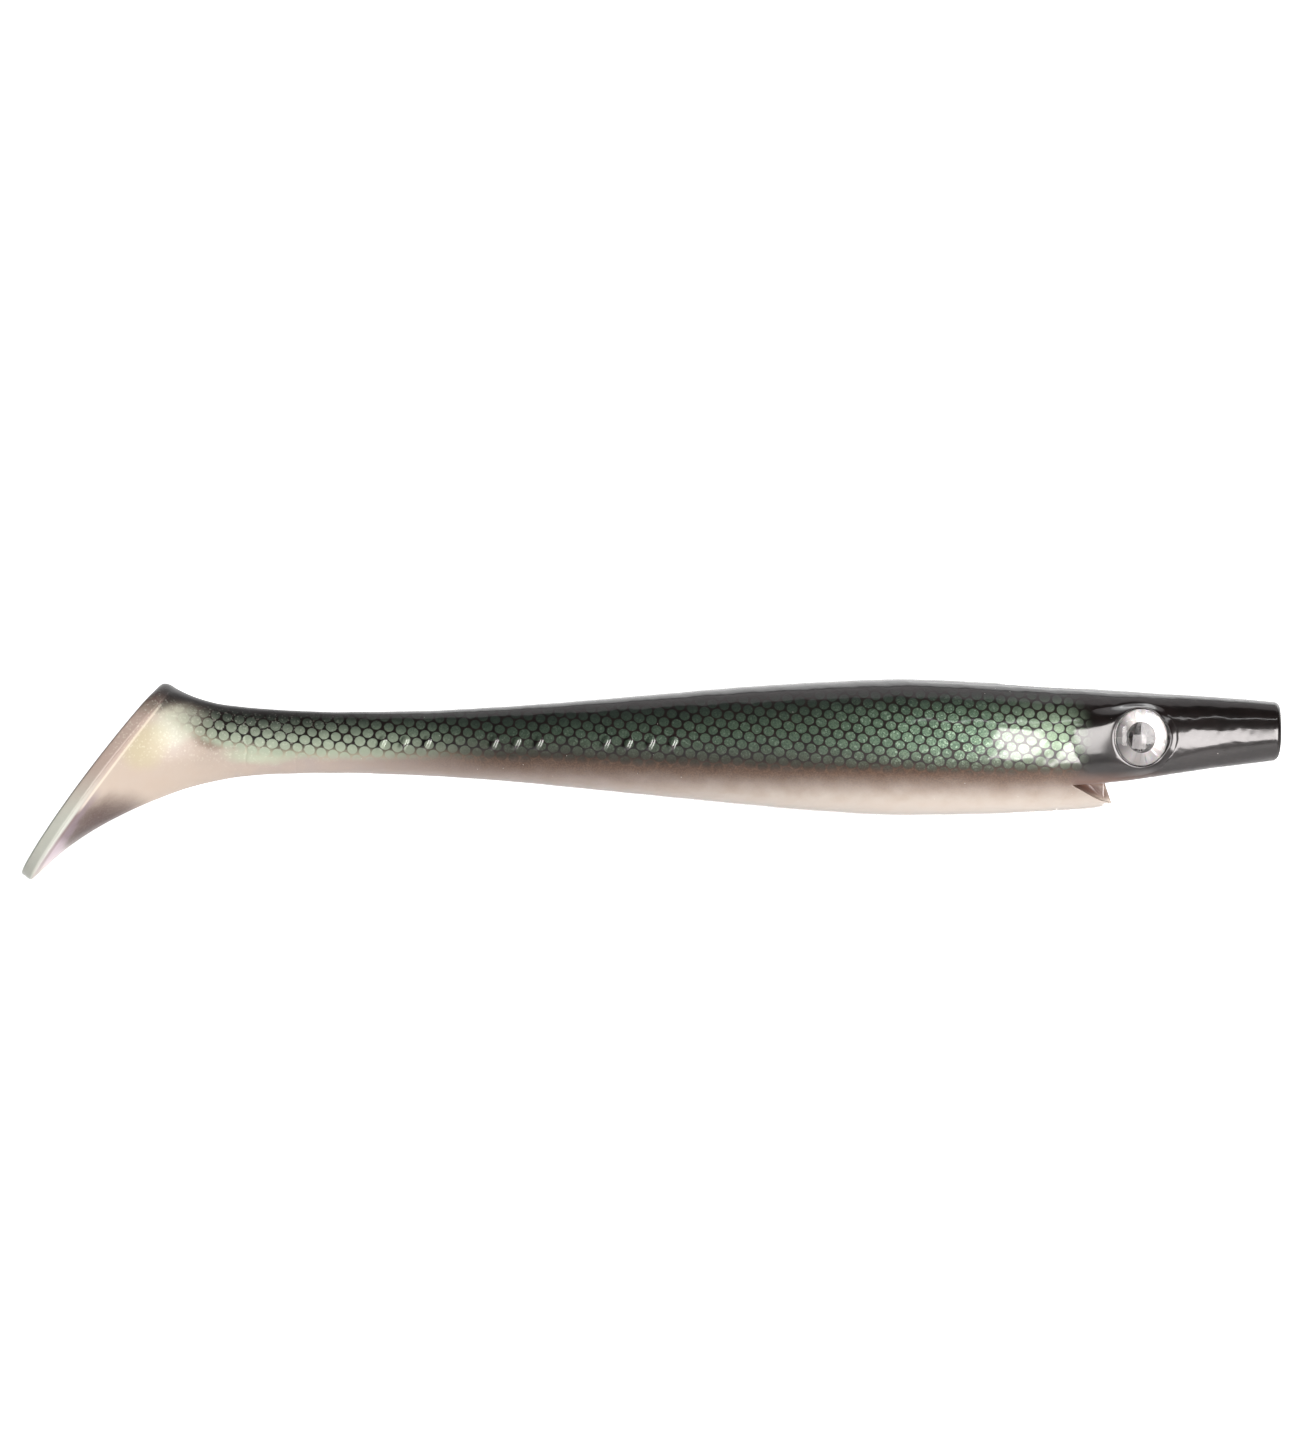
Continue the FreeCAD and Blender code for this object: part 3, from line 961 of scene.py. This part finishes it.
def tints_and_painted_light(n, f, colour):
    """Patches on the tail and the throat: painted shade, painted highlights and sheen, and a few tints."""
    sway = n.times(n.minus(f.cloud, 0.5), 1.4)
    swayed_x, swayed_z = n.plus(f.x, sway), n.minus(f.z, sway)
    for centre_x, centre_z, length, height, tilt, shade, strength in TINTS_AND_PAINTED_LIGHT:
        mask = patch(n, swayed_x, swayed_z, centre_x, centre_z, length, height, tilt)
        rough_mask = n.times(mask, n.ramp(f.grain, 0.1, 0.6, strength * 0.8, strength))
        colour = n.mix(rough_mask, colour, linear(*shade))
    return colour


def rim_paint(n, f, colour):
    """The paddle's rim, and a painted highlight along the crease between it and the flare, turning to
    painted shade low down.
    """
    aft = aft_of_crease(n, f.x, f.z)
    rim_colour = n.mix(n.ramp(f.z, -4.0, -15.0), linear(184, 165, 154), linear(203, 208, 196))
    rim_colour = n.mix(n.ramp(f.z, 1.0, 6.5), rim_colour, linear(96, 74, 68))
    colour = n.mix(n.times(n.ramp(aft, -0.25, 0.25), 0.9), colour, rim_colour)
    # A thin line along the crease: painted highlight high up, painted shade below.
    crease = n.ramp(n.calc("ABSOLUTE", n.plus(aft, 0.15)), 0.26, 0.06)
    crease = n.times(crease, n.ramp(f.z, 4.6, 3.2, 0.0, 0.6))
    crease_light_and_shade = n.mix(n.ramp(f.z, -11.5, -13.5), linear(232, 222, 204), linear(112, 84, 80))
    return n.mix(crease, colour, crease_light_and_shade)


def net_paint(n, f, brown, disc, own, colour):
    """Green discs on dark lines. They are duller in mid-body, browner low down and pale aft, with painted
    shade towards the net's top edge, a painted highlight near the head, and flakes painted as glints.
    """
    deep = n.mix(n.ramp(f.cloud, 0.3, 0.7), linear(17, 12, 11), linear(30, 21, 19))
    green = n.mix(n.ramp(f.grain, 0.3, 0.7), linear(76, 103, 85), linear(122, 149, 121))
    green = n.mix(n.times(own, 0.30), green, linear(62, 84, 68))
    # The brightest flakes as pale specks: real flakes, painted as glints.
    green = n.mix(n.times(f.glint, 0.5), green, linear(196, 224, 196))
    middle = n.times(n.ramp(f.along, -48.0, -78.0), n.ramp(f.along, -146.0, -124.0))
    green = n.mix(n.times(middle, 0.72), green, linear(50, 62, 52))
    # Discs brighter just behind the head: painted highlight.
    green = n.mix(n.ramp(f.along, -50.0, -36.0, 0.0, 0.5), green, linear(160, 180, 152))
    green = n.mix(n.ramp(f.along, -122.0, -162.0, 0.0, 0.85), green, linear(170, 186, 164))
    # Discs darken towards the net's top edge: painted shade.
    drop = n.plus(f.over, n.ramp(f.along, -110.0, -160.0, 0.0, -0.3))
    shaded_disc = n.mix(n.ramp(drop, 0.8, -5.8), linear(36, 46, 41), green)
    low_disc = n.mix(f.tail, linear(42, 32, 23), linear(172, 184, 162))
    shaded_disc = n.mix(n.ramp(f.under, -0.8, 4.4), low_disc, shaded_disc)
    low_line = n.mix(f.tail, brown, linear(176, 172, 150))
    line = n.mix(n.ramp(f.under, -0.9, 1.4), low_line, deep)
    lower = n.plus(f.under, n.times(f.tail, 0.5))
    fading_tail = n.times(n.ramp(f.along, -168.0, -176.5), 0.85)
    netted = n.times(n.ramp(lower, -1.1, 0.5), n.minus(1.0, fading_tail))
    return n.mix(netted, colour, n.mix(disc, line, shaded_disc))


def dark_paint(n, f, colour):
    """Flakes on the tail, painted as pale glints, under the dark back and head. Gives the colour and the
    head's mask.
    """
    # Pale specks on the tail's flakes: real flakes, painted as glints.
    tail_glint = n.times(n.ramp(f.along, -140.0, -165.0, 0.0, 0.22), n.ramp(f.z, -7.0, -2.0))
    colour = n.mix(n.times(f.glint, tail_glint), colour, linear(246, 249, 232))
    back = n.mix(n.ramp(f.cloud, 0.35, 0.7), linear(11, 6, 5), linear(20, 13, 12))
    dark = n.times(n.ramp(f.over, -0.9, 1.2), n.ramp(f.along, -181.0, -175.0))
    colour = n.mix(dark, colour, back)
    head = n.ramp(n.plus(f.along, n.times(f.sway, 0.6)), -35.5, -30.0)
    head = n.times(head, n.ramp(f.z, -8.9, -8.5))
    head_under = n.mix(n.ramp(f.z, -8.9, -6.0), linear(104, 78, 66), back)
    return n.mix(head, colour, head_under), head


def dust_paint(n, f, colour):
    """A few pale specks of dust, at made-up places."""
    dust = n.add("ShaderNodeTexVoronoi", f.rest)
    dust.inputs["Scale"].default_value = 0.45
    spot = n.calc("LESS_THAN", dust.outputs["Distance"], 0.030)
    return n.mix(n.times(spot, 0.5), colour, linear(228, 222, 214))


def skin_material(name, coat_roughness):
    """Dark back, painted scale net, brown fade and pearl belly, with fine flake under gloss."""
    n = Nodes(name)
    f = skin_fields(n)
    brown = n.mix(n.ramp(f.grain, 0.3, 0.7), linear(68, 46, 31), linear(90, 66, 47))
    disc, own = net_mask(n, f.rest)
    colour = tints_and_painted_light(n, f, pearl_paint(n, f, brown))
    colour = rim_paint(n, f, colour)
    colour = net_paint(n, f, brown, disc, own, colour)
    colour, head = dark_paint(n, f, colour)
    colour = dust_paint(n, f, colour)

    inside = n.ramp(f.under, -1.3, 0.2)
    open_net = n.times(n.ramp(f.over, 0.9, -0.7), n.minus(1.0, head))
    painted = n.times(n.times(disc, inside), open_net)
    metallic = n.times(painted, n.ramp(f.flake, 0.2, 0.9, 0.05, 0.30))
    rough = n.plus(0.24, n.times(f.grain, 0.14))
    rough = n.plus(rough, n.times(painted, 0.12))
    height = n.plus(n.noise(f.rest, 1.1, 3.0, 0.5), n.times(f.grain, 0.10))
    n.shader.inputs["IOR"].default_value = 1.48
    n.shader.inputs["Specular IOR Level"].default_value = 0.3
    n.shader.inputs["Coat Roughness"].default_value = coat_roughness
    n.shader.inputs["Coat IOR"].default_value = 1.6
    gloss = n.ramp(f.along, -132.0, -156.0, 1.0, 0.30)
    return n.set(Base_Color=colour, Metallic=metallic, Roughness=rough, Coat_Weight=gloss,
                 Normal=n.bump(height, 0.22, 0.0002))


def foil_material():
    """Silver holographic foil whose wedges pick up faint rainbow edges."""
    n = Nodes("eye_foil_silver")
    wedge = n.attribute("wedge").outputs["Fac"]
    reach = n.attribute("reach").outputs["Fac"]
    step = n.times(wedge, float(FACETS))
    cell = n.calc("FLOOR", step)
    local = n.minus(step, cell)
    own = n.add("ShaderNodeTexWhiteNoise", n.join(cell, 0.0, 0.0), noise_dimensions="3D").outputs[0]
    edge = n.calc("ABSOLUTE", n.minus(local, 0.5))
    band = n.calc("FRACT", n.plus(n.times(reach, 3.0), n.times(own, 2.0)))
    rainbow = n.add("ShaderNodeCombineColor", band, 0.35, 1.0, mode="HSV").outputs[0]
    silver = n.mix(own, linear(206, 203, 203), linear(240, 233, 230))
    tint = n.times(n.ramp(edge, 0.30, 0.5), 0.35)
    colour = n.mix(tint, silver, rainbow)
    behind = n.ramp(n.calc("ABSOLUTE", wedge), 0.30, 0.45, 0.0, 0.75)
    below = n.ramp(n.calc("ABSOLUTE", n.plus(wedge, 0.27)), 0.06, 0.02, 0.0, 0.4)
    depth = n.plus(0.55, n.times(own, 0.6))
    shadow = n.times(n.calc("MAXIMUM", behind, below), depth)
    colour = n.mix(shadow, colour, linear(92, 88, 90))
    grain = n.noise(n.attribute("rest").outputs["Vector"], 14.0, 2.0)
    rough = n.plus(0.26, n.times(grain, 0.2))
    return n.set(Base_Color=colour, Metallic=0.60, Roughness=rough, Normal=n.bump(grain, 0.15, 0.00005))


def pupil_material():
    """Black print, slightly clouded."""
    n = Nodes("eye_pupil_black")
    rest = n.attribute("rest").outputs["Vector"]
    cloud = n.noise(rest, 1.2, 2.0)
    colour = n.mix(n.ramp(cloud, 0.3, 0.7), linear(28, 22, 21), linear(44, 35, 33))
    return n.set(Base_Color=colour, Roughness=n.plus(0.18, n.times(cloud, 0.1)),
                 Normal=n.bump(cloud, 0.1, 0.00005))


def lens_material():
    """Clear dome with a faint haze."""
    n = Nodes("eye_lens_clear")
    rest = n.attribute("rest").outputs["Vector"]
    haze = n.noise(rest, 0.8, 2.0)
    n.shader.inputs["Transmission Weight"].default_value = 1.0
    n.shader.inputs["IOR"].default_value = 1.45
    return n.set(Base_Color=(0.98, 0.99, 0.99, 1.0),
                 Roughness=n.times(haze, 0.04), Normal=n.bump(haze, 0.04, 0.00005))


def adhesive_material():
    """White foam pad."""
    n = Nodes("eye_adhesive_white")
    place = n.add("ShaderNodeTexCoord").outputs["Object"]
    grain = n.noise(place, 1500.0, 3.0)
    return n.set(Base_Color=n.mix(grain, linear(206, 204, 198), linear(228, 226, 221)), Roughness=0.7)


# ---------------------------------------------------------------- scene

FLOOR_DROP = 0.45           # the floor lies well below, so that the bait hangs clear as in a cut-out
FLOOR_NEAR, FLOOR_HALF_WIDTH = -14.0, 12.0
BACKDROP_START, BACKDROP_RADIUS, BACKDROP_TOP = 1.2, 1.0, 4.0
CAMERA_LENS = 200.0
SENSOR = 36.0
FRAME_WIDTH = 0.2076        # of the picture at the bait, nose to tail with its margins
CAMERA_AHEAD, CAMERA_UP = 0.0007, 0.0011    # from the bait's middle and from its axis


def make_floor():
    """A pale floor that curves up into a backdrop."""
    low = cad_bounds[0][2] - FLOOR_DROP
    centre = (cad_bounds[0][0] + cad_bounds[1][0]) / 2
    outline = [(FLOOR_NEAR, 0.0), (BACKDROP_START, 0.0)]
    outline += [
        (BACKDROP_START + BACKDROP_RADIUS * math.sin(a), BACKDROP_RADIUS * (1 - math.cos(a)))
        for a in np.linspace(0.1, math.pi / 2, 14)
    ]
    outline.append((BACKDROP_START + BACKDROP_RADIUS, BACKDROP_TOP))
    points, faces = [], []
    for i, (y, z) in enumerate(outline):
        points += [(centre + side * FLOOR_HALF_WIDTH, y, low + z) for side in (-1, 1)]
        if i:
            faces.append((2 * i - 2, 2 * i - 1, 2 * i + 1, 2 * i))
    mesh = bpy.data.meshes.new("floor")
    mesh.from_pydata(points, [], faces)
    mesh.polygons.foreach_set("use_smooth", [True] * len(mesh.polygons))
    floor = bpy.data.objects.new("floor", mesh)
    bpy.context.scene.collection.objects.link(floor)
    n = Nodes("studio_floor")
    place = n.add("ShaderNodeTexCoord").outputs["Object"]
    grain = n.noise(place, 30.0, 2.0)
    glow = n.ramp(n.split(place)[1], 0.7, 1.7, 0.12, 1.0)
    n.shader.inputs["Emission Color"].default_value = (1, 1, 1, 1)
    grey = n.mix(grain, (0.86, 0.86, 0.86, 1), (0.9, 0.9, 0.9, 1))
    mesh.materials.append(n.set(Base_Color=grey, Roughness=0.7, Emission_Strength=glow))


def area_light(name, direction, distance, size, radiance, colour, aim):
    """A softbox of the given width and height in metres, seen from aim at azimuth and elevation."""
    azimuth, elevation = (math.radians(v) for v in direction)
    data = bpy.data.lights.new(name, "AREA")
    data.shape = "RECTANGLE"
    data.size, data.size_y = size
    data.energy = radiance * math.pi * size[0] * size[1]
    data.color = colour
    light = bpy.data.objects.new(name, data)
    toward = Vector((math.sin(azimuth) * math.cos(elevation), -math.cos(azimuth) * math.cos(elevation),
                     math.sin(elevation)))
    light.location = Vector(aim) + toward * distance
    light.rotation_euler = (-toward).to_track_quat("-Z", "Y").to_euler()
    light.visible_camera = False
    bpy.context.scene.collection.objects.link(light)


def make_lights():
    """Azimuth 0 faces the right flank. Both sides have the same boxes, dimmer on the left."""
    head = (-0.012, 0, 0)
    cheek = (-0.033, 0, -0.0015)
    middle = ((cad_bounds[0][0] + cad_bounds[1][0]) / 2, 0, 0)
    for name, turn, mirror, level in (("front", 0, 1, 1.0), ("rear", 180, -1, 0.45)):
        area_light(f"{name}_low_box", direction=(turn + 30 * mirror, -11), distance=0.65,
                   size=(0.42, 0.42), radiance=10.8 * level, colour=(1, 0.95, 0.94), aim=head)
        area_light(f"{name}_cheek", direction=(turn, 4), distance=0.07,
                   size=(0.012, 0.060), radiance=10.5 * level, colour=(1, 0.96, 0.94), aim=cheek)
        area_light(f"{name}_broad", direction=(turn - 16 * mirror, -1), distance=0.42,
                   size=(0.50, 0.30), radiance=0.14 * level, colour=(1, 0.98, 0.96), aim=middle)
        area_light(f"{name}_strip", direction=(turn + 24 * mirror, 43), distance=0.45,
                   size=(0.34, 0.016), radiance=5.5 * level, colour=(1, 1, 1), aim=head)
    area_light("overhead", direction=(180, 78), distance=0.9,
               size=(1.6, 0.5), radiance=0.55, colour=(1, 0.94, 0.95), aim=middle)
    world = bpy.data.worlds.new("studio")
    world.use_nodes = True
    world.node_tree.nodes["Background"].inputs[0].default_value = (1, 1, 1, 1)
    world.node_tree.nodes["Background"].inputs[1].default_value = 0.05
    bpy.context.scene.world = world
    bpy.context.scene.view_settings.view_transform = "Standard"


def make_camera():
    """A long lens square to the bait's right side."""
    camera = bpy.data.cameras.new("camera")
    camera.lens, camera.sensor_width = CAMERA_LENS, SENSOR
    camera.sensor_fit = "HORIZONTAL"
    camera.clip_start, camera.clip_end = 0.01, 50
    holder = bpy.data.objects.new("camera", camera)
    distance = FRAME_WIDTH * CAMERA_LENS / SENSOR
    centre_x = (cad_bounds[0][0] + cad_bounds[1][0]) / 2
    holder.location = (centre_x + CAMERA_AHEAD, -distance, CAMERA_UP)
    holder.rotation_euler = (math.pi / 2, 0, 0)
    bpy.context.scene.collection.objects.link(holder)
    bpy.context.scene.camera = holder


def paint_cad(materials):
    """The adhesive pads keep their CAD shape."""
    for side in ("right", "left"):
        node = frame["nodes"][f"{side}_eye_adhesive"]
        node.data.materials.clear()
        node.data.materials.append(materials["adhesive"])


def main():
    """Builds the bait and its stage."""
    materials = {
        "skin": skin_material("bait_skin", 0.11),
        "satin": skin_material("bait_skin_satin", 0.42),
        "foil": foil_material(),
        "pupil": pupil_material(),
        "lens": lens_material(),
        "adhesive": adhesive_material(),
    }
    plain = make_skin(materials["skin"], materials["satin"])
    make_lobe(materials["skin"])
    for side in ("right", "left"):
        make_socket(side, plain, materials["skin"])
        make_eye(side, materials)
    paint_cad(materials)
    make_floor()
    make_lights()
    make_camera()


main()
